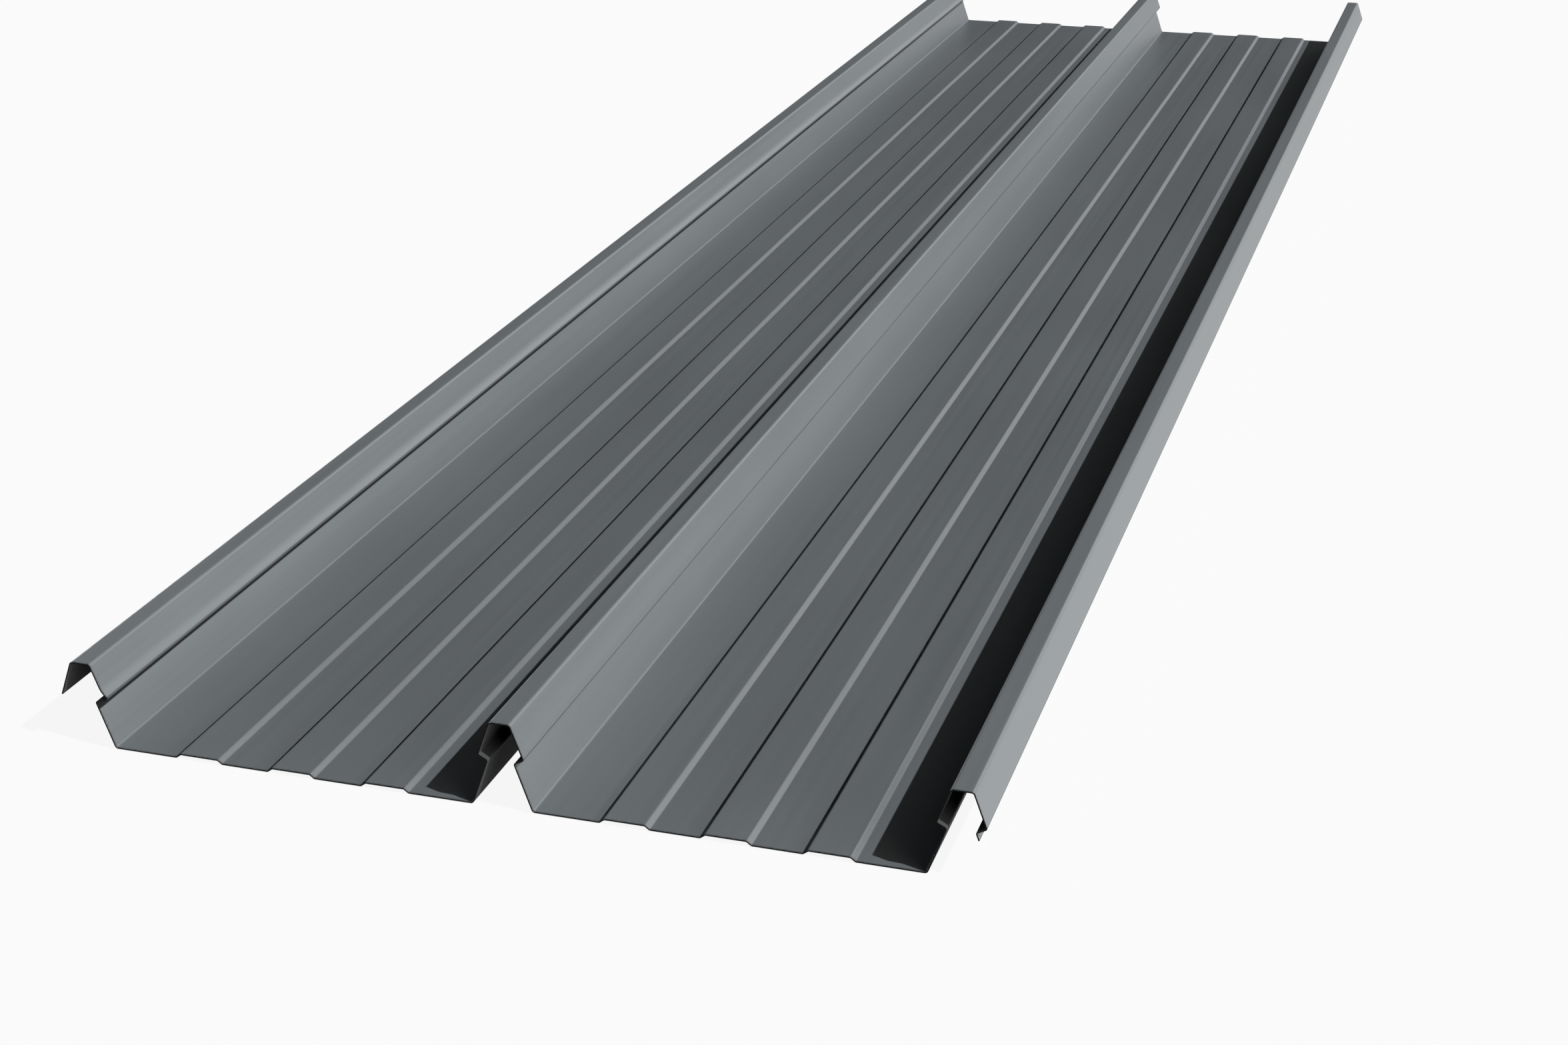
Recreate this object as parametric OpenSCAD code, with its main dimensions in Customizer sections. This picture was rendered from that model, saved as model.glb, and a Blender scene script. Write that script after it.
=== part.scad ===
// Concealed-fix roofing sheet, roll-formed from one strip of painted steel.
// Two fluted pans run between three ribs. The left rib laps under the next sheet, the right rib
// laps over it, and the shoulders half-way up the ribs snap over hidden clips.
// Apart from the full height of a rib, the section's widths and heights are taken on the middle of
// the sheet's thickness.
// +X runs across the sheet, +Y along it and +Z up. The origin is under the middle of the sheet.

/* [Sheet] */
// Length of the sheet
sheet_l = 1700; // [300:10:6000]
// Thickness of the painted steel
sheet_t = 0.6; // [0.4:0.05:1.2]
// Number of pans in one sheet
pan_count = 2; // [1:1:4]
// Spacing of the ribs
rib_pitch = 203; // [180:1:300]

/* [Rib] */
// Height of a rib, from the underside of the pan to its top face
rib_h = 41; // [36:0.5:60]
// Width of the flat top of a rib
rib_top_w = 9.4; // [7:0.1:14]
// Width of a rib at its foot
rib_foot_w = 28; // [24:0.5:40]
// Width of a rib across the tips of its shoulders
shoulder_w = 21.2; // [19:0.1:24]
// Height of the shoulder tips above the pan
shoulder_h = 24.4; // [20:0.1:28]
// Width of the neck that the shoulders turn in to
neck_w = 12.4; // [11:0.1:14]
// Drop from the shoulder tips to the neck
neck_drop = 2.3; // [1:0.1:4]

/* [Pan flutes] */
// Number of flutes across a pan
flute_count = 3; // [1:1:3]
// Spacing of the flutes
flute_pitch = 45.5; // [30:0.5:50]
// Width of the flat crown of a flute
flute_crown_w = 18.4; // [10:0.1:22]
// Width of each sloping flank of a flute
flute_flank_w = 2.3; // [1.5:0.1:3.5]
// Height of a flute above the pan
flute_h = 1.7; // [0.8:0.1:2.5]

/* [Side laps] */
// Length of the underlap rib's free leg, down its slope
underlap_leg_l = 17.8; // [8:0.1:20]
// Height above the shoulder tip of the corner where the underlap web flares out
flare_rise = 3; // [2.7:0.1:6]
// How far the flare carries the underlap shoulder past a plain one
flare_out = 2; // [0.8:0.1:3]
// Length of the overlap rib's snap lip, below its neck
snap_lip_l = 3.7; // [2.5:0.1:12]

/* [Bends] */
// Inside radius of the bends at the top and foot of a rib
rib_bend_r = 1.3; // [0.8:0.1:2]
// Inside radius of the bends at a shoulder
shoulder_bend_r = 0.5; // [0.3:0.1:0.8]
// Inside radius of the bends at a flute
flute_bend_r = 0.9; // [0.4:0.1:2]
// Inside radius of the underlap's flare
flare_bend_r = 10; // [4:0.5:12]

/* [Hidden] */

// Largest turn that one flat of a bend takes, in degrees
bend_step = 12;
paint_colour = [0.37, 0.39, 0.40];

half_t = sheet_t / 2;
cover_w = pan_count * rib_pitch;

// Heights of the middle of the sheet's thickness
pan_z = half_t;
crown_z = pan_z + flute_h;
neck_z = pan_z + shoulder_h - neck_drop;
shoulder_z = pan_z + shoulder_h;
flare_z = shoulder_z + flare_rise;
rib_top_z = rib_h - half_t;

// Bend radii on the middle of the sheet's thickness
rib_bend_mid_r = rib_bend_r + half_t;
shoulder_bend_mid_r = shoulder_bend_r + half_t;
flute_bend_mid_r = flute_bend_r + half_t;
flare_bend_mid_r = flare_bend_r + half_t;

// Centre of rib number i, counted from the underlap rib, and of pan number i to its right
function rib_x(i) = i * rib_pitch - cover_w / 2;
function pan_x(i) = rib_x(i) + rib_pitch / 2;

function unit(v) = v / norm(v);
function left_of(v) = [-v[1], v[0]];
function turned(v, angle) = v * cos(angle) + left_of(v) * sin(angle);
function reversed(list) = [for (i = [len(list) - 1:-1:0]) list[i]];
function along(from, to, distance) = from + distance * unit(to - from);

// A corner of the section: a point of the sharp-cornered line, and the radius that rounds it
function corner(point, r = 0) = [point, r];
function point_of(c) = c[0];
function radius_of(c) = c[1];

// The sharp points of a rib's side; side is 1 on the right of the rib and -1 on the left
function top_point(x, side) = [x + side * rib_top_w / 2, rib_top_z];
function shoulder_point(x, side) = [x + side * shoulder_w / 2, shoulder_z];
function neck_point(x, side) = [x + side * neck_w / 2, neck_z];
function foot_point(x, side) = [x + side * rib_foot_w / 2, pan_z];

// The web from a rib's top down to its neck, and the whole side from its top to its foot
function upper_side(x, side) = [
    corner(top_point(x, side), rib_bend_mid_r),
    corner(shoulder_point(x, side), shoulder_bend_mid_r),
    corner(neck_point(x, side), shoulder_bend_mid_r)
];
function full_side(x, side) = concat(
    upper_side(x, side),
    [corner(foot_point(x, side), rib_bend_mid_r)]
);

// A rib in the middle of the sheet
function middle_rib(x) = concat(reversed(full_side(x, -1)), full_side(x, 1));

// The rib at the right edge ends in a short lip that snaps under the next sheet's shoulder
function overlap_rib(x) = concat(
    reversed(full_side(x, -1)),
    upper_side(x, 1),
    [corner(along(neck_point(x, 1), foot_point(x, 1), snap_lip_l))]
);

// The rib at the left edge has one plain leg, and its other web flares out above the shoulder
function flare_point(x) =
    let (top = top_point(x, 1), tip = shoulder_point(x, 1))
    top + (tip - top) * (rib_top_z - flare_z) / (rib_top_z - shoulder_z);
function underlap_rib(x) = [
    corner(along(top_point(x, -1), shoulder_point(x, -1), underlap_leg_l)),
    corner(top_point(x, -1), rib_bend_mid_r),
    corner(top_point(x, 1), rib_bend_mid_r),
    corner(flare_point(x), flare_bend_mid_r),
    corner(shoulder_point(x, 1) + [flare_out, 0], shoulder_bend_mid_r),
    corner(neck_point(x, 1), shoulder_bend_mid_r),
    corner(foot_point(x, 1), rib_bend_mid_r)
];

// One raised flute of a pan, and the row of them
function flute(x) =
    let (crown = flute_crown_w / 2, foot = crown + flute_flank_w)
    [for (p = [[-foot, pan_z], [-crown, crown_z], [crown, crown_z], [foot, pan_z]])
        corner([x + p[0], p[1]], flute_bend_mid_r)];
function pan(x) = [
    for (i = [0:flute_count - 1])
        each flute(x + (i - (flute_count - 1) / 2) * flute_pitch)
];

// The whole section, from the free leg at the left to the snap lip at the right
function rib_after_pan(i) =
    let (x = rib_x(i + 1))
    i + 1 < pan_count ? middle_rib(x) : overlap_rib(x);
section = concat(
    underlap_rib(rib_x(0)),
    [for (i = [0:pan_count - 1]) each concat(pan(pan_x(i)), rib_after_pan(i))]
);

// Stations along the strip, each a point on the middle of its thickness and the normal there
function end_station(c, along_v) = [point_of(c), left_of(unit(along_v))];
function bend_stations(a, b, c) =
    let (
        before = unit(point_of(b) - point_of(a)),
        after = unit(point_of(c) - point_of(b)),
        turn = atan2(cross(before, after), before * after),
        r = radius_of(b) * sign(turn),
        start = point_of(b) - before * r * tan(turn / 2),
        centre = start + r * left_of(before),
        flats = ceil(abs(turn) / bend_step)
    )
    [for (k = [0:flats])
        let (normal = turned(left_of(before), turn * k / flats))
        [centre - r * normal, normal]];
function stations(line) =
    let (last = len(line) - 1)
    concat(
        [end_station(line[0], point_of(line[1]) - point_of(line[0]))],
        [for (i = [1:last - 1]) each bend_stations(line[i - 1], line[i], line[i + 1])],
        [end_station(line[last], point_of(line[last]) - point_of(line[last - 1]))]
    );

// The cut face of the strip
module strip_section(line) {
    strip = stations(line);
    upper_face = [for (s = strip) s[0] + half_t * s[1]];
    lower_face = [for (s = strip) s[0] - half_t * s[1]];
    polygon(concat(upper_face, reversed(lower_face)));
}

module roof_sheet() {
    color(paint_colour)
        rotate([90, 0, 0])
            linear_extrude(height = sheet_l, center = true)
                strip_section(section);
}

roof_sheet();
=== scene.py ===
import math

import bpy
from mathutils import Euler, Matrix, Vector


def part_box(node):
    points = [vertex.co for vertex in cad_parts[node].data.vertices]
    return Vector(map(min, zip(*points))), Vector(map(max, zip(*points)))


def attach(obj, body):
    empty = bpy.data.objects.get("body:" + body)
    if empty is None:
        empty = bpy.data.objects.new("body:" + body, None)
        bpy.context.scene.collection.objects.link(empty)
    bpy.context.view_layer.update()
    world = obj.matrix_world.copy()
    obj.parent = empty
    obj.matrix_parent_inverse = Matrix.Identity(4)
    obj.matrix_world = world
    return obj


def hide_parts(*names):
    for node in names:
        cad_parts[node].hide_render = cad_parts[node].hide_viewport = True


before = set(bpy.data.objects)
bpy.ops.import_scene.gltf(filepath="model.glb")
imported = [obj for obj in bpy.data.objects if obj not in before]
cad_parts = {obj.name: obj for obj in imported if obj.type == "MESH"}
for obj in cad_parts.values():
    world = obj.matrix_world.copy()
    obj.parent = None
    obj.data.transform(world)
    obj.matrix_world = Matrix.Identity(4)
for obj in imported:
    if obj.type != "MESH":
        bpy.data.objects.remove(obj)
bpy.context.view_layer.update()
print("frame: loaded", sorted(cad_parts))


# camera: where the photograph was taken from, in metres and degrees
cameraView = {
    "place": (0.39693, -1.73449, 0.53689),
    "turnLeft": 16.952,  # away from looking along +Y
    "tiltDown": 22.720,
    "lens": 58.03,  # millimetres, as is the sensor's width
    "sensor": 36.0,
    "clip": (0.05, 200.0),
}


def addCamera(view):
    data = bpy.data.cameras.new("photoCamera")
    data.sensor_fit = "HORIZONTAL"
    data.sensor_width = view["sensor"]
    data.lens = view["lens"]
    data.clip_start, data.clip_end = view["clip"]
    camera = bpy.data.objects.new("photoCamera", data)
    camera.location = view["place"]
    tilt = math.radians(90 - view["tiltDown"])  # an unturned camera looks straight down
    camera.rotation_euler = Euler((tilt, 0, math.radians(view["turnLeft"])))
    bpy.context.scene.collection.objects.link(camera)
    bpy.context.scene.camera = camera


addCamera(cameraView)
print("camera: set")


# node helpers, shared by every material below
white = (1.0, 1.0, 1.0, 1.0)
noiseLook = {
    "roughness": 0.55,
    "low": 0.3,  # most of the noise lies between these two values
    "high": 0.7,
}


def newMaterial(name):
    material = bpy.data.materials.new(name)
    material.use_nodes = True
    material.node_tree.nodes.clear()
    return material, material.node_tree


def addNode(tree, kind, **settings):
    node = tree.nodes.new(kind)
    for key, value in settings.items():
        setattr(node, key, value)
    return node


def feed(tree, node, socket, value):
    if isinstance(value, bpy.types.NodeSocket):
        tree.links.new(value, node.inputs[socket])
    else:
        node.inputs[socket].default_value = value


def reckon(tree, operation, first, second):
    node = addNode(tree, "ShaderNodeMath", operation=operation)
    feed(tree, node, 0, first)
    feed(tree, node, 1, second)
    return node.outputs["Value"]


def times(tree, first, second):
    return reckon(tree, "MULTIPLY", first, second)


def plus(tree, first, second):
    return reckon(tree, "ADD", first, second)


def spread(tree, value, low, high, fromLow=noiseLook["low"], fromHigh=noiseLook["high"]):
    # carries a value over to the range from low to high, and holds it there
    node = addNode(tree, "ShaderNodeMapRange")
    feed(tree, node, "Value", value)
    feed(tree, node, "From Min", fromLow)
    feed(tree, node, "From Max", fromHigh)
    feed(tree, node, "To Min", low)
    feed(tree, node, "To Max", high)
    return node.outputs["Result"]


def uneven(tree, noise, share):
    # a value about 1, up and down by the share
    return spread(tree, noise, 1 - share, 1 + share)


def marked(tree, tone, mark, share):
    # the tone, lighter by the share where the mark is 1, or darker where the share is negative
    return times(tree, tone, spread(tree, mark, 1.0, 1 + share, 0.0, 1.0))


def onStrip(tree):
    # place on the flattened strip, in metres
    return addNode(tree, "ShaderNodeUVMap", uv_map="strip").outputs["UV"]


def grain(tree, look):
    # noise on the strip: how often in a metre across it and along it, and its detail
    acrossScale, alongScale, detail = look
    mapping = addNode(tree, "ShaderNodeMapping")
    feed(tree, mapping, "Vector", onStrip(tree))
    feed(tree, mapping, "Scale", (acrossScale, alongScale, 1.0))
    noise = addNode(tree, "ShaderNodeTexNoise", noise_dimensions="2D")
    feed(tree, noise, "Vector", mapping.outputs["Vector"])
    feed(tree, noise, "Scale", 1.0)
    feed(tree, noise, "Detail", detail)
    feed(tree, noise, "Roughness", noiseLook["roughness"])
    return noise.outputs["Fac"]


def stripParts(tree):
    # place across the strip and place along it
    parts = addNode(tree, "ShaderNodeSeparateXYZ")
    feed(tree, parts, "Vector", onStrip(tree))
    return parts.outputs["X"], parts.outputs["Y"]


def fromLine(tree, lineAcross):
    # distance in metres to a line that runs along the strip
    x, y = stripParts(tree)
    return reckon(tree, "ABSOLUTE", reckon(tree, "SUBTRACT", x, lineAcross), 0.0)


def fromCutEdge(tree, stripWidth, stripLength):
    # distance in metres to the nearest cut edge of the strip
    x, y = stripParts(tree)
    toSide = reckon(tree, "MINIMUM", x, reckon(tree, "SUBTRACT", stripWidth, x))
    toEnd = reckon(tree, "MINIMUM", y, reckon(tree, "SUBTRACT", stripLength, y))
    return reckon(tree, "MINIMUM", toSide, toEnd)


def pointMark(tree, name):
    return addNode(tree, "ShaderNodeAttribute", attribute_name=name).outputs["Fac"]


def shaded(tree, colour, brightness):
    # a colour made lighter or darker by a value about 1
    node = addNode(tree, "ShaderNodeVectorMath", operation="SCALE")
    feed(tree, node, 0, colour)
    feed(tree, node, "Scale", brightness)
    return node.outputs["Vector"]


def bumped(tree, height, strength, distance):
    node = addNode(tree, "ShaderNodeBump")
    feed(tree, node, "Height", height)
    feed(tree, node, "Strength", strength)
    feed(tree, node, "Distance", distance)
    return node.outputs["Normal"]


def painted(tree, colour, roughness, normal, specular):
    paint = addNode(tree, "ShaderNodeBsdfPrincipled")
    feed(tree, paint, "Base Color", colour)
    feed(tree, paint, "Roughness", roughness)
    feed(tree, paint, "Normal", normal)
    feed(tree, paint, "Specular IOR Level", specular)
    output = addNode(tree, "ShaderNodeOutputMaterial")
    tree.links.new(paint.outputs["BSDF"], output.inputs["Surface"])


def mixed(tree, share, first, second):
    node = addNode(tree, "ShaderNodeMixShader")
    feed(tree, node, 0, share)
    feed(tree, node, 1, first)
    feed(tree, node, 2, second)
    return node.outputs["Shader"]


# top coat: satin slate-grey paint, rolled on along the strip
# a grain is how often in a metre across the strip, how often along it, and its detail
slatePaint = {
    "colour": (0.173, 0.190, 0.201),
    "streaks": 0.035,  # lighter and darker by this share
    "streakGrain": (260, 2.2, 3.0),
    "mottle": 0.03,
    "mottleGrain": (14, 5, 2.0),
    "speckle": 0.03,
    "speckleGrain": (2600, 2600, 1.0),
    "bendStretchAndHighlight": 0.05,  # lighter where the paint is stretched over a bend, and a painted highlight along the bends
    "shoulderShadeDarker": 0.50,  # painted shade on the tight shoulder bends
    "shoulderShadeDuller": 0.10,
    "shoulderShadeGrain": (40, 9, 3.0),
    "shoulderShadeLeast": 0.75,
    "flareShadowWide": 0.0037,  # painted shadow of the flare: a dark line under it, each way from its neck
    "flareShadowFade": 0.0003,
    "flareShadowDarker": 0.88,
    "edgeWear": 0.0011,  # width of the margin that darkens along a cut edge
    "edgeDarker": 0.85,
    "wearGrain": (700, 700, 3.0),
    "wearLeast": 0.5,
    "roughness": (0.36, 0.43),
    "streakShare": 0.6,  # of the unevenness in roughness, the rest being mottle
    "specular": 0.5,
    "peelGrain": (1100, 1100, 2.0),
    "peelStrength": 0.16,
    "peelDepth": 0.00002,
}


def makeSlatePaint(look, stripWidth, stripLength, flareShadowAcross):
    material, tree = newMaterial("slatePaint")
    material.cycles.use_bump_map_correction = False  # keeps the leaning normals at low angles
    streak = grain(tree, look["streakGrain"])
    cloud = grain(tree, look["mottleGrain"])
    speck = grain(tree, look["speckleGrain"])
    tone = times(tree, uneven(tree, streak, look["streaks"]), uneven(tree, cloud, look["mottle"]))
    tone = times(tree, tone, uneven(tree, speck, look["speckle"]))
    # lighter on bends: stretched paint, and a painted highlight
    tone = marked(tree, tone, pointMark(tree, "bend"), look["bendStretchAndHighlight"])

    # painted shade along the tight shoulder bends, in patches, and a little duller there
    shoulderShade = spread(tree, grain(tree, look["shoulderShadeGrain"]), look["shoulderShadeLeast"], 1.0)
    shoulderShade = times(tree, pointMark(tree, "shoulderShade"), shoulderShade)
    tone = marked(tree, tone, shoulderShade, -look["shoulderShadeDarker"])

    # painted shadow of the flare along its neck
    fadeStart = look["flareShadowWide"] - look["flareShadowFade"]
    flareShadow = spread(tree, fromLine(tree, flareShadowAcross), 1.0, 0.0, fadeStart, look["flareShadowWide"])
    tone = marked(tree, tone, flareShadow, -look["flareShadowDarker"])

    fromEdge = fromCutEdge(tree, stripWidth, stripLength)
    patches = spread(tree, grain(tree, look["wearGrain"]), look["wearLeast"], 1.0)
    worn = times(tree, spread(tree, fromEdge, 1.0, 0.0, 0.0, look["edgeWear"]), patches)
    tone = marked(tree, tone, worn, -look["edgeDarker"])

    share = look["streakShare"]
    dulling = plus(tree, times(tree, streak, share), times(tree, cloud, 1 - share))
    roughness = spread(tree, dulling, *look["roughness"])
    roughness = plus(tree, roughness, times(tree, shoulderShade, look["shoulderShadeDuller"]))
    peel = grain(tree, look["peelGrain"])
    painted(
        tree,
        shaded(tree, look["colour"], tone),
        roughness,
        bumped(tree, peel, look["peelStrength"], look["peelDepth"]),
        look["specular"],
    )
    return material


# back coat: the underside's coat, made dark as painted shade inside the ribs
backCoat = {
    "colour": (0.085, 0.087, 0.088),
    "streaks": 0.06,
    "streakGrain": (180, 1.6, 4.0),
    "roughness": (0.70, 0.82),
    "specular": 0.04,
    "peelGrain": (800, 500, 2.0),
    "peelStrength": 0.12,
    "peelDepth": 0.00002,
}


def makeBackCoat(look):
    material, tree = newMaterial("backCoat")
    streak = grain(tree, look["streakGrain"])
    peel = grain(tree, look["peelGrain"])
    painted(
        tree,
        shaded(tree, look["colour"], uneven(tree, streak, look["streaks"])),
        spread(tree, streak, *look["roughness"]),
        bumped(tree, peel, look["peelStrength"], look["peelDepth"]),
        look["specular"],
    )
    return material


# cut edge: sheared steel gone dark, with the blade's fine marks
cutEdge = {
    "colour": (0.012, 0.013, 0.014),
    "marks": 0.35,
    "markGrain": (2400, 2400, 2.0),
    "markStrength": 0.2,
    "markDepth": 0.00003,
    "roughness": (0.60, 0.75),
    "specular": 0.05,
}


def makeCutEdge(look):
    material, tree = newMaterial("cutEdge")
    marks = grain(tree, look["markGrain"])
    painted(
        tree,
        shaded(tree, look["colour"], uneven(tree, marks, look["marks"])),
        spread(tree, marks, *look["roughness"]),
        bumped(tree, marks, look["markStrength"], look["markDepth"]),
        look["specular"],
    )
    return material


# the sheet: one strip rolled to its section; sizes in metres on the middle of its thickness
roofSheet = {
    "node": "roof_sheet",
    "slot": "slate_paint",
    "thickness": 0.0006,
    "panCount": 2,
    "ribPitch": 0.203,
    "ribTopWidth": 0.0094,
    "ribFootWidth": 0.028,
    "shoulderWidth": 0.0212,
    "shoulderHeight": 0.0244,
    "neckWidth": 0.0124,
    "neckDrop": 0.0023,
    "fluteCount": 3,
    "flutePitch": 0.0455,
    "fluteCrown": 0.0184,
    "fluteFlank": 0.0023,
    "fluteHeight": 0.0017,
    "underlapLeg": 0.0178,
    "flareRise": 0.003,
    "flareOut": 0.002,
    "snapLip": 0.0037,
    "ribBend": 0.0013,  # inside radii
    "shoulderBend": 0.0005,
    "fluteBend": 0.0009,
    "flareBend": 0.010,
    "bendStep": 7.5,  # degrees turned by one face of a bend
    "flatStep": 0.008,  # widest face across a flat
    "edgeStep": 0.0004,  # narrow face that holds a flat flat beside its bend
    "edgeShare": 0.25,  # of a flat, at most, for that face
    "rows": 60,  # faces along the length
    "sharpAngle": 40.0,  # degrees at which an edge is shaded as a sharp one
    "flankLean": 1.8,  # how much steeper the flutes' left flanks are shaded, to read as dark lines
    "levelSlope": 0.0005,  # a normal that leans less than this is on a level face
    "rippleHeight": 0.00012,  # of the pans' slight waviness
    "rippleLength": 0.41,
    "ripples": [  # share of the height, waves in a length, start, and shift from pan to pan
        (1.0, 1.0, 0.0, 2.0),
        (0.5, 1.7, 1.0, 1.0),
    ],
}

lowest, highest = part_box(roofSheet["node"])
sheetLength = highest.y - lowest.y
halfThickness = roofSheet["thickness"] / 2
panHeight = lowest.z + halfThickness
ribTopHeight = highest.z - halfThickness
coverWidth = roofSheet["panCount"] * roofSheet["ribPitch"]


def ribPlace(i):
    return i * roofSheet["ribPitch"] - coverWidth / 2


def middleRadius(name):
    return roofSheet[name] + halfThickness


# sharp points of a rib's side: side is 1 on its right and -1 on its left
def topPoint(x, side):
    return Vector((x + side * roofSheet["ribTopWidth"] / 2, ribTopHeight))


def shoulderPoint(x, side):
    return Vector((x + side * roofSheet["shoulderWidth"] / 2, panHeight + roofSheet["shoulderHeight"]))


def neckPoint(x, side):
    up = roofSheet["shoulderHeight"] - roofSheet["neckDrop"]
    return Vector((x + side * roofSheet["neckWidth"] / 2, panHeight + up))


def footPoint(x, side):
    return Vector((x + side * roofSheet["ribFootWidth"] / 2, panHeight))


def along(start, towards, distance):
    return start + (towards - start).normalized() * distance


# a rib's corners, each with its bend's radius, from left to right
def upperSide(x, side):
    return [
        (topPoint(x, side), middleRadius("ribBend")),
        (shoulderPoint(x, side), middleRadius("shoulderBend")),
        (neckPoint(x, side), middleRadius("shoulderBend")),
    ]


def fullSide(x, side):
    return upperSide(x, side) + [(footPoint(x, side), middleRadius("ribBend"))]


def middleRib(x):
    return fullSide(x, -1)[::-1] + fullSide(x, 1)


def overlapRib(x):
    lipEnd = along(neckPoint(x, 1), footPoint(x, 1), roofSheet["snapLip"])
    return fullSide(x, -1)[::-1] + upperSide(x, 1) + [(lipEnd, 0)]


def underlapRib(x):
    top, tip = topPoint(x, 1), shoulderPoint(x, 1)
    flare = tip.lerp(top, roofSheet["flareRise"] / (top.y - tip.y))
    legEnd = along(topPoint(x, -1), shoulderPoint(x, -1), roofSheet["underlapLeg"])
    return [
        (legEnd, 0),
        (topPoint(x, -1), middleRadius("ribBend")),
        (top, middleRadius("ribBend")),
        (flare, middleRadius("flareBend")),
        (tip + Vector((roofSheet["flareOut"], 0)), middleRadius("shoulderBend")),
        (neckPoint(x, 1), middleRadius("shoulderBend")),
        (footPoint(x, 1), middleRadius("ribBend")),
    ]


def flutedPan(x):
    corners = []
    crown = roofSheet["fluteCrown"] / 2
    foot = crown + roofSheet["fluteFlank"]
    crownHeight = panHeight + roofSheet["fluteHeight"]
    flute = ((-foot, panHeight), (-crown, crownHeight), (crown, crownHeight), (foot, panHeight))
    for i in range(roofSheet["fluteCount"]):
        middle = x + (i - (roofSheet["fluteCount"] - 1) / 2) * roofSheet["flutePitch"]
        for offset, height in flute:
            corners.append((Vector((middle + offset, height)), middleRadius("fluteBend")))
    return corners


def sheetSection():
    corners = underlapRib(ribPlace(0))
    for i in range(roofSheet["panCount"]):
        corners += flutedPan(ribPlace(i) + roofSheet["ribPitch"] / 2)
        isLast = i + 1 == roofSheet["panCount"]
        corners += overlapRib(ribPlace(i + 1)) if isLast else middleRib(ribPlace(i + 1))
    return corners


def leftOf(v):
    return Vector((-v.y, v.x))


def turned(v, angle):
    return v * math.cos(angle) + leftOf(v) * math.sin(angle)


# stations across the strip: point on its middle, normal there, 1 on a bend, 1 on a shoulder bend that gets
# painted shade
def bendStations(before, corner, after):
    point, radius = corner
    intoBend = (point - before[0]).normalized()
    outOfBend = (after[0] - point).normalized()
    turn = math.atan2(intoBend.x * outOfBend.y - intoBend.y * outOfBend.x, intoBend.dot(outOfBend))
    swing = math.copysign(radius, turn)
    start = point - intoBend * swing * math.tan(turn / 2)
    centre = start + leftOf(intoBend) * swing
    faces = math.ceil(abs(turn) / math.radians(roofSheet["bendStep"]))
    found = []
    for k in range(faces + 1):
        normal = turned(leftOf(intoBend), turn * k / faces)
        onBend = 0.0 if k in (0, faces) else 1.0
        shoulderShaded = onBend if radius == middleRadius("shoulderBend") else 0.0
        found.append((centre - normal * swing, normal, onBend, shoulderShaded))
    return found


def flatStations(start, end):
    # what lies between two bends: a narrow face at each end and even ones between
    span = end[0] - start[0]
    edge = min(roofSheet["edgeStep"], span.length * roofSheet["edgeShare"])
    inner = span.length - 2 * edge
    faces = max(1, math.ceil(inner / roofSheet["flatStep"]))
    distances = [edge + inner * k / faces for k in range(faces + 1)]
    return [(start[0] + span.normalized() * d, start[1], 0.0, 0.0) for d in distances]


def sheetStations(corners):
    first, last = corners[0][0], corners[-1][0]
    runs = [[(first, leftOf((corners[1][0] - first).normalized()), 0.0, 0.0)]]
    for i in range(1, len(corners) - 1):
        runs.append(bendStations(corners[i - 1], corners[i], corners[i + 1]))
    runs.append([(last, leftOf((last - corners[-2][0]).normalized()), 0.0, 0.0)])
    stations = list(runs[0])
    for run in runs[1:]:
        stations += flatStations(stations[-1], run[0]) + run
    return stations


def acrossStrip(stations):
    # distance of each station from the strip's left edge, measured along the strip
    across = [0.0]
    for a, b in zip(stations, stations[1:]):
        across.append(across[-1] + (b[0] - a[0]).length)
    return across


def fromPanMiddle(x):
    return (x + coverWidth / 2) % roofSheet["ribPitch"] - roofSheet["ribPitch"] / 2


def panRipple(x, y):
    # a pan is held at its ribs and waves a little between them
    pan = math.floor((x + coverWidth / 2) / roofSheet["ribPitch"])
    reach = (roofSheet["ribPitch"] - roofSheet["ribFootWidth"]) / 2
    if abs(fromPanMiddle(x)) > reach or not 0 <= pan < roofSheet["panCount"]:
        return 0.0
    hold = math.cos(fromPanMiddle(x) / reach * math.pi / 2) ** 2
    wave = 2 * math.pi * y / roofSheet["rippleLength"]
    height = 0.0
    for share, often, start, shift in roofSheet["ripples"]:
        height += share * math.sin(wave * often + start + shift * pan)
    return roofSheet["rippleHeight"] * hold * height


def sheetPoints(stations, ys):
    # the upper face's points row by row, then the lower face's
    points = []
    for side in (1, -1):
        for y in ys:
            for point, normal, bend, shoulderShade in stations:
                place = point + normal * halfThickness * side
                points.append((place.x, y, place.y + panRipple(point.x, y)))
    return points


# the picture that holds the flattened strip's two sides and its cut edges, all in metres
stripMap = {
    "gap": 0.012,
    "edgeWidth": 0.010,  # cut edges are drawn wider than they are
    "edgeCount": 4,
}
topSide, underSide, cutSide = range(3)  # the order of the materials


def edgePlace(across, i):
    # left side of a cut edge on the picture, where the edges stand right of the two broad sides
    broadSides = 2 * (across[-1] + stripMap["gap"])
    return broadSides + i * (stripMap["edgeWidth"] + stripMap["gap"])


# faces of the sheet: corner points, material, and the corners' places on the picture
def broadFaces(across, ys):
    count = len(across)
    lower = count * len(ys)
    backLeft = across[-1] + stripMap["gap"]
    found = []
    for j in range(len(ys) - 1):
        v, w = ys[j] - lowest.y, ys[j + 1] - lowest.y
        for i in range(count - 1):
            a = j * count + i
            quad = (a, a + 1, a + 1 + count, a + count)
            s, t = across[i], across[i + 1]
            found.append((quad, topSide, ((s, v), (t, v), (t, w), (s, w))))
            under = tuple(k + lower for k in reversed(quad))
            s, t = backLeft + s, backLeft + t
            found.append((under, underSide, ((s, w), (t, w), (t, v), (s, v))))
    return found


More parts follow.
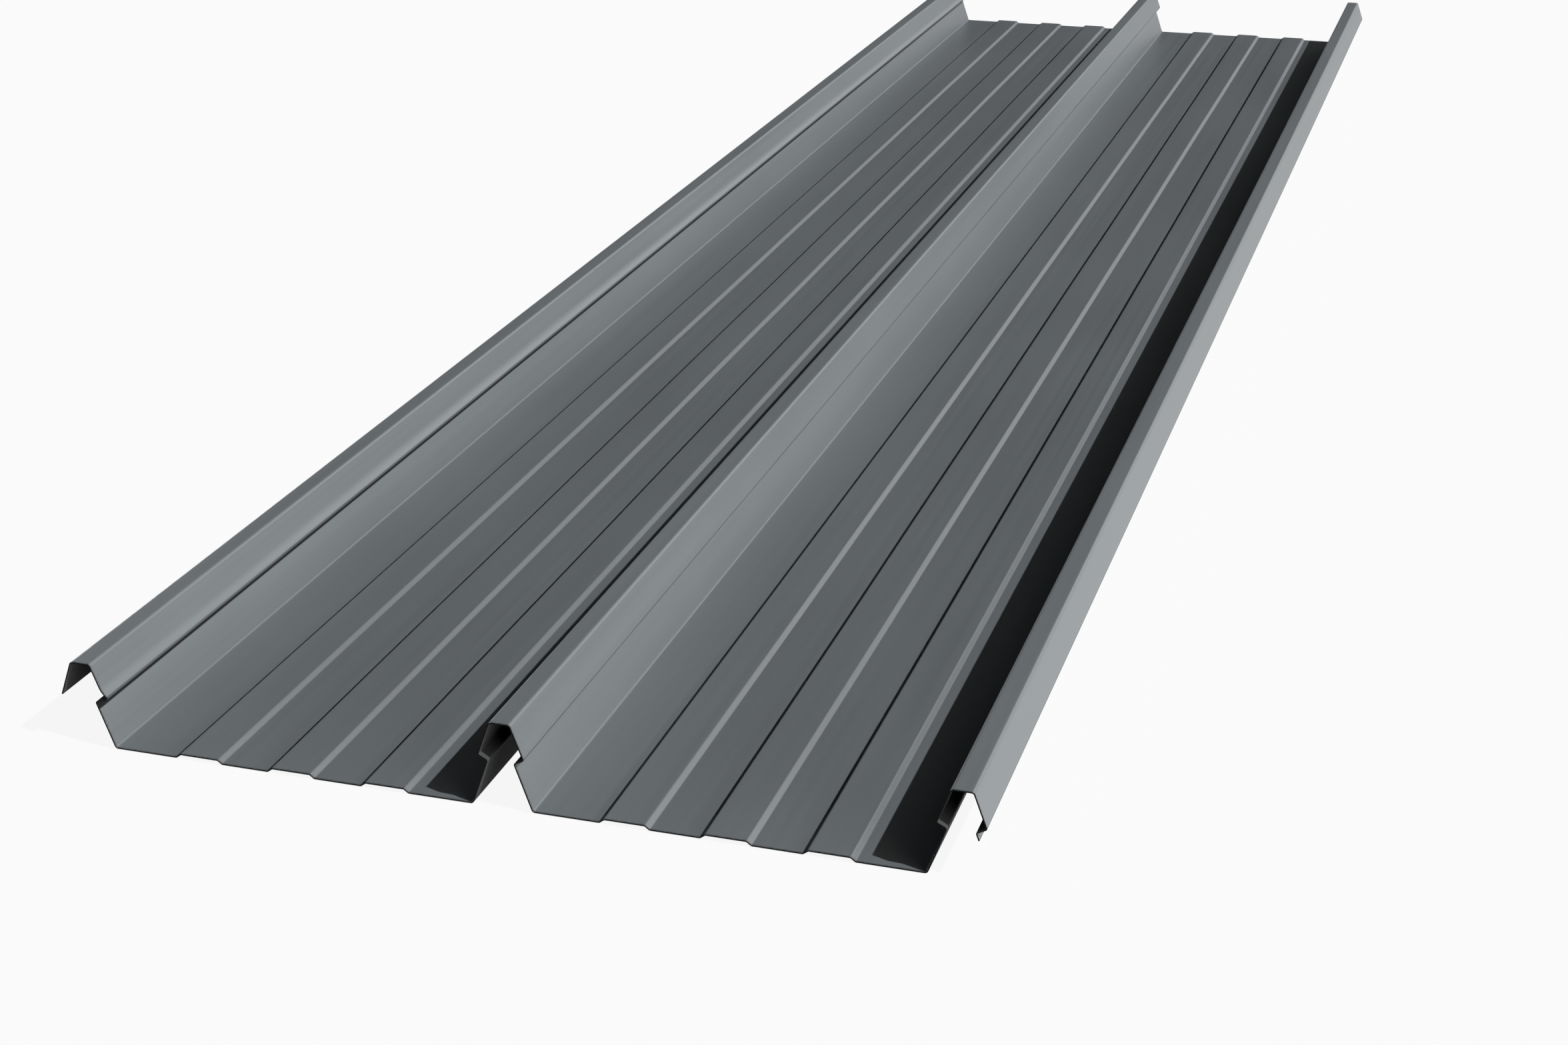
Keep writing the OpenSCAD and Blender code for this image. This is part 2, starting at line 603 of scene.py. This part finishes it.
def edgeFaces(across, ys):
    count = len(across)
    lower = count * len(ys)
    lengths = [y - lowest.y for y in ys]
    nearEnd = range(count)
    farEnd = range(lower - count, lower)
    leftSlit = range(0, lower, count)
    rightSlit = range(count - 1, lower, count)
    edges = (
        (nearEnd, across, 1),
        (farEnd, across, -1),
        (leftSlit, lengths, -1),
        (rightSlit, lengths, 1),
    )
    found = []
    for i, (points, distances, winding) in enumerate(edges):
        left = edgePlace(across, i)
        right = left + stripMap["edgeWidth"]
        for a, b, s, t in zip(points, points[1:], distances, distances[1:]):
            quad = (a, a + lower, b + lower, b)
            places = ((left, s), (right, s), (right, t), (left, t))
            found.append((quad[::winding], cutSide, places[::winding]))
    return found


def leaningNormals(mesh, stations, coats):
    # shading normals for every face corner: a zero vector leaves the mesh's own
    own = (0.0, 0.0, 0.0)
    fluted = roofSheet["fluteCount"] * roofSheet["flutePitch"] / 2
    leaning = []
    for point, normal, bend, shoulderShade in stations:
        slope = math.atan2(normal.x, normal.y) * roofSheet["flankLean"]
        onLeftFlank = normal.x < -roofSheet["levelSlope"] and abs(fromPanMiddle(point.x)) < fluted
        leaning.append((math.sin(slope), 0.0, math.cos(slope)) if onLeftFlank else own)
    found = []
    for face, coat in zip(mesh.polygons, coats):
        found += [leaning[i % len(stations)] if coat == topSide else own for i in face.vertices]
    return found


def addCoats(mesh, stations, across):
    # where the painted shadow under the flare runs, across the strip
    neck = neckPoint(ribPlace(0), 1)
    toNeck = [(station[0] - neck).length for station in stations]
    flareShadowAcross = across[toNeck.index(min(toNeck))]
    mesh.materials.append(makeSlatePaint(slatePaint, across[-1], sheetLength, flareShadowAcross))
    mesh.materials.append(makeBackCoat(backCoat))
    mesh.materials.append(makeCutEdge(cutEdge))


def addMaps(mesh, maps, across):
    # the strip in metres for the materials, and the same picture fitted to a unit square
    numbers = [number for places in maps for place in places for number in place]
    largest = max(sheetLength, edgePlace(across, stripMap["edgeCount"]))
    strip = mesh.uv_layers.new(name="strip")
    strip.uv.foreach_set("vector", numbers)
    picture = mesh.uv_layers.new(name="OFBake")
    picture.uv.foreach_set("vector", [number / largest for number in numbers])


def buildSheet():
    stations = sheetStations(sheetSection())
    across = acrossStrip(stations)
    rows = roofSheet["rows"]
    ys = [lowest.y + sheetLength * j / rows for j in range(rows + 1)]
    faces, coats, maps = zip(*broadFaces(across, ys), *edgeFaces(across, ys))

    mesh = bpy.data.meshes.new("paintedSheet")
    mesh.from_pydata(sheetPoints(stations, ys), [], faces)
    addCoats(mesh, stations, across)
    mesh.polygons.foreach_set("material_index", coats)
    mesh.polygons.foreach_set("use_smooth", [True] * len(faces))
    addMaps(mesh, maps, across)
    points, normals, bends, shoulderShades = zip(*stations)
    for name, values in (("bend", bends), ("shoulderShade", shoulderShades)):
        marks = mesh.attributes.new(name, "FLOAT", "POINT")
        marks.data.foreach_set("value", values * (2 * len(ys)))
    mesh.validate()
    mesh.update()
    mesh.set_sharp_from_angle(angle=math.radians(roofSheet["sharpAngle"]))
    mesh.normals_split_custom_set(leaningNormals(mesh, stations, coats))

    piece = bpy.data.objects.new("painted_sheet", mesh)
    bpy.context.scene.collection.objects.link(piece)
    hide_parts(roofSheet["node"])
    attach(piece, "root")
    print("sheet:", len(stations), "stations,", len(faces), "faces, strip", round(across[-1], 4), "m wide")
    return piece


sheet = buildSheet()


# floor: plain and pale, seen as nearly white, with the sheet's shadow kept
paleFloor = {
    "size": 80.0,
    "below": 0.0004,  # clear of the pans' underside
    "colour": (0.80, 0.80, 0.80, 1.0),  # as it is seen
    "bounce": (0.30, 0.30, 0.30, 1.0),  # as it lights the sheet from below
    "whiteShare": 0.91,
}


def makePaleFloor(look):
    material, tree = newMaterial("paleFloor")
    pale = addNode(tree, "ShaderNodeBsdfDiffuse")
    feed(tree, pale, "Color", look["colour"])
    dull = addNode(tree, "ShaderNodeBsdfDiffuse")
    feed(tree, dull, "Color", look["bounce"])
    glow = addNode(tree, "ShaderNodeEmission")
    feed(tree, glow, "Color", white)
    feed(tree, glow, "Strength", 1.0)
    ray = addNode(tree, "ShaderNodeLightPath")
    seen = plus(tree, ray.outputs["Is Camera Ray"], ray.outputs["Is Glossy Ray"])
    seen = plus(tree, seen, ray.outputs["Is Transmission Ray"])
    seen = reckon(tree, "MINIMUM", seen, 1.0)
    shown = mixed(tree, look["whiteShare"], pale.outputs["BSDF"], glow.outputs["Emission"])
    output = addNode(tree, "ShaderNodeOutputMaterial")
    tree.links.new(mixed(tree, seen, dull.outputs["BSDF"], shown), output.inputs["Surface"])
    return material


def addFloor(look):
    half = look["size"] / 2
    z = lowest.z - look["below"]
    corners = [(-half, -half, z), (half, -half, z), (half, half, z), (-half, half, z)]
    mesh = bpy.data.meshes.new("floor")
    mesh.from_pydata(corners, [], [range(len(corners))])
    mesh.materials.append(makePaleFloor(look))
    floor = bpy.data.objects.new("floor", mesh)
    bpy.context.scene.collection.objects.link(floor)


addFloor(paleFloor)
print("floor: laid")


# studio: a key from the right, low lamps on both sides, a dim room and soft boxes in it
studio = {
    "keyTowards": (0.648, -0.133, 0.750),
    "keyStrength": 2.53,
    "keyAngle": 0.6,  # degrees across, for the shadow's softness
    "sideLamps": [  # low, so that they light the webs and hardly the pans
        {
            "name": "rightLamp",
            "place": (3.0, -1.2, 0.60),
            "target": (0.0, -0.1, 0.02),
            "size": (4.8, 0.55),
            "power": 75.0,
            "colour": (1.0, 0.985, 0.94),
        },
        {
            "name": "leftLamp",
            "place": (-3.0, 0.4, 0.46),
            "target": (0.0, 0.0, 0.02),
            "size": (4.8, 0.55),
            "power": 50.0,
            "colour": (0.97, 0.985, 1.0),
        },
    ],
    "room": 0.006,
    "backdrop": 0.953,  # as the camera sees it beyond the floor, and as pale as the floor
    "softBoxes": [  # towards, strength and focus, where a higher focus is a smaller box
        ((0.300, 0.780, 0.550), 2.25, 90),  # behind on the right, mirrored by the near flanks
        ((0.385, 0.845, 0.370), 2.85, 75),
        ((0.240, 0.940, 0.250), 0.58, 100),  # lower, for the flanks further away
        ((0.170, 0.970, 0.180), 0.36, 120),
    ],
}


def addKey(look):
    data = bpy.data.lights.new("keyLight", "SUN")
    data.energy = look["keyStrength"]
    data.angle = math.radians(look["keyAngle"])
    key = bpy.data.objects.new("keyLight", data)
    key.rotation_euler = Vector(look["keyTowards"]).to_track_quat("Z", "Y").to_euler()
    bpy.context.scene.collection.objects.link(key)


def addSideLamp(lamp, lit):
    data = bpy.data.lights.new(lamp["name"], "AREA")
    data.shape = "RECTANGLE"
    data.size, data.size_y = lamp["size"]
    data.energy = lamp["power"]
    data.color = lamp["colour"]
    side = bpy.data.objects.new(lamp["name"], data)
    side.location = lamp["place"]
    away = Vector(lamp["place"]) - Vector(lamp["target"])
    side.rotation_euler = away.to_track_quat("Z", "Y").to_euler()
    side.visible_camera = False
    side.light_linking.receiver_collection = lit  # the floor stays evenly lit
    bpy.context.scene.collection.objects.link(side)


def softBoxGlow(tree, towards, strength, focus):
    view = addNode(tree, "ShaderNodeTexCoord").outputs["Generated"]
    dot = addNode(tree, "ShaderNodeVectorMath", operation="DOT_PRODUCT")
    feed(tree, dot, 0, view)
    feed(tree, dot, 1, Vector(towards).normalized())
    facing = reckon(tree, "MAXIMUM", dot.outputs["Value"], 0.0)
    return times(tree, reckon(tree, "POWER", facing, focus), strength)


def addRoom(look):
    world = bpy.data.worlds.new("studio")
    world.use_nodes = True
    tree = world.node_tree
    tree.nodes.clear()
    strength = look["room"]
    for towards, boxStrength, focus in look["softBoxes"]:
        strength = plus(tree, softBoxGlow(tree, towards, boxStrength, focus), strength)
    ray = addNode(tree, "ShaderNodeLightPath")
    seen = plus(tree, ray.outputs["Is Camera Ray"], ray.outputs["Is Transmission Ray"])
    strength = reckon(tree, "MAXIMUM", strength, times(tree, seen, look["backdrop"]))
    light = addNode(tree, "ShaderNodeBackground")
    feed(tree, light, "Color", white)
    feed(tree, light, "Strength", strength)
    output = addNode(tree, "ShaderNodeOutputWorld")
    tree.links.new(light.outputs["Background"], output.inputs["Surface"])
    bpy.context.scene.world = world


litPieces = bpy.data.collections.new("litPieces")
litPieces.objects.link(sheet)
addKey(studio)
for lamp in studio["sideLamps"]:
    addSideLamp(lamp, litPieces)
addRoom(studio)
bpy.context.scene.view_settings.view_transform = "Standard"
print("studio: lit")
